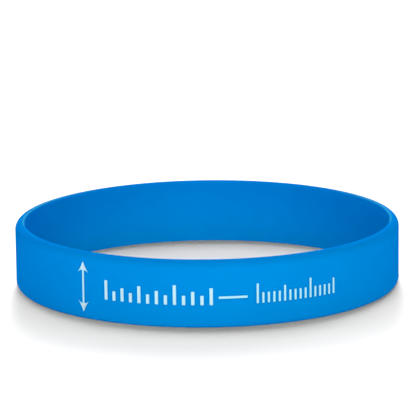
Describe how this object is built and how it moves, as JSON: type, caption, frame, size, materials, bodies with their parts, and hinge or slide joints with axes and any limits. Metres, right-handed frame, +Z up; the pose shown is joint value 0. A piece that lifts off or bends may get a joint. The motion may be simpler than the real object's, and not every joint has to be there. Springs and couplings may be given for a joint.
{
  "type": "silicone wristband",
  "caption": "Plain moulded silicone wristband: a closed loop, flat inside and rounded along its outer edges, with a sunk row of white ruler marks and a two-headed arrow.",
  "frame": {"origin": "centre of the ring on which the loop rests, on the surface under it", "axes": "+Z up along the loop's axis, -Y towards the row of marks, +X to the right of the marks as they are read"},
  "size_m": [0.0702, 0.0702, 0.012],
  "materials": {
    "silicone": "smooth satin silicone",
    "ink": "flat white ink"
  },
  "bodies": {
    "root": {"band": "silicone", "arrow_ink": "ink", "inch_ink_00": "ink", "inch_ink_01": "ink", "inch_ink_02": "ink", "inch_ink_03": "ink", "inch_ink_04": "ink", "inch_ink_05": "ink", "inch_ink_06": "ink", "inch_ink_07": "ink", "inch_ink_08": "ink", "inch_ink_09": "ink", "inch_ink_10": "ink", "inch_ink_11": "ink", "inch_ink_12": "ink", "bar_ink": "ink", "mm_ink_00": "ink", "mm_ink_01": "ink", "mm_ink_02": "ink", "mm_ink_03": "ink", "mm_ink_04": "ink", "mm_ink_05": "ink", "mm_ink_06": "ink", "mm_ink_07": "ink", "mm_ink_08": "ink", "mm_ink_09": "ink", "mm_ink_10": "ink", "mm_ink_11": "ink", "mm_ink_12": "ink", "mm_ink_13": "ink", "mm_ink_14": "ink", "mm_ink_15": "ink"}
  },
  "joints": []
}
